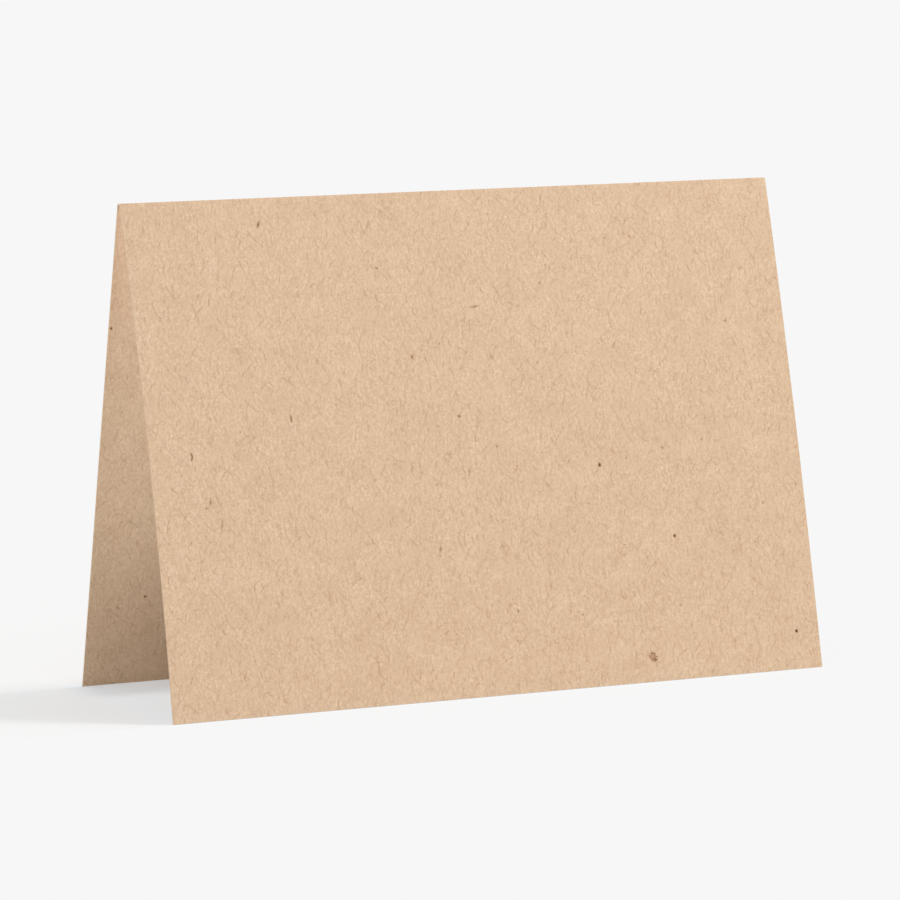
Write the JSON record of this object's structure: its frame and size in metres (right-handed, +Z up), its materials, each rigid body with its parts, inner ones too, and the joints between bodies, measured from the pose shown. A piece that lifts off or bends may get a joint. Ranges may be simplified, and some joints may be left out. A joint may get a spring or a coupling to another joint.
{
  "type": "folded card",
  "caption": "Blank kraft greeting card of one sheet, creased once across the middle and standing like a tent on its two cut edges, its front panel sprung slightly outwards.",
  "frame": {"origin": "bottom centre of the card's box, on the surface that it stands on, midway between its two cut edges", "axes": "+X along the fold, +Y from the sprung front panel towards the flat rear panel, +Z up to the fold"},
  "size_m": [0.1778, 0.0618, 0.1232],
  "materials": {
    "kraft_card": "uncoated recycled kraft card stock, matt, mottled, with visible fibres and dark specks"
  },
  "bodies": {
    "root": {"folded_card": "kraft_card"}
  },
  "joints": []
}
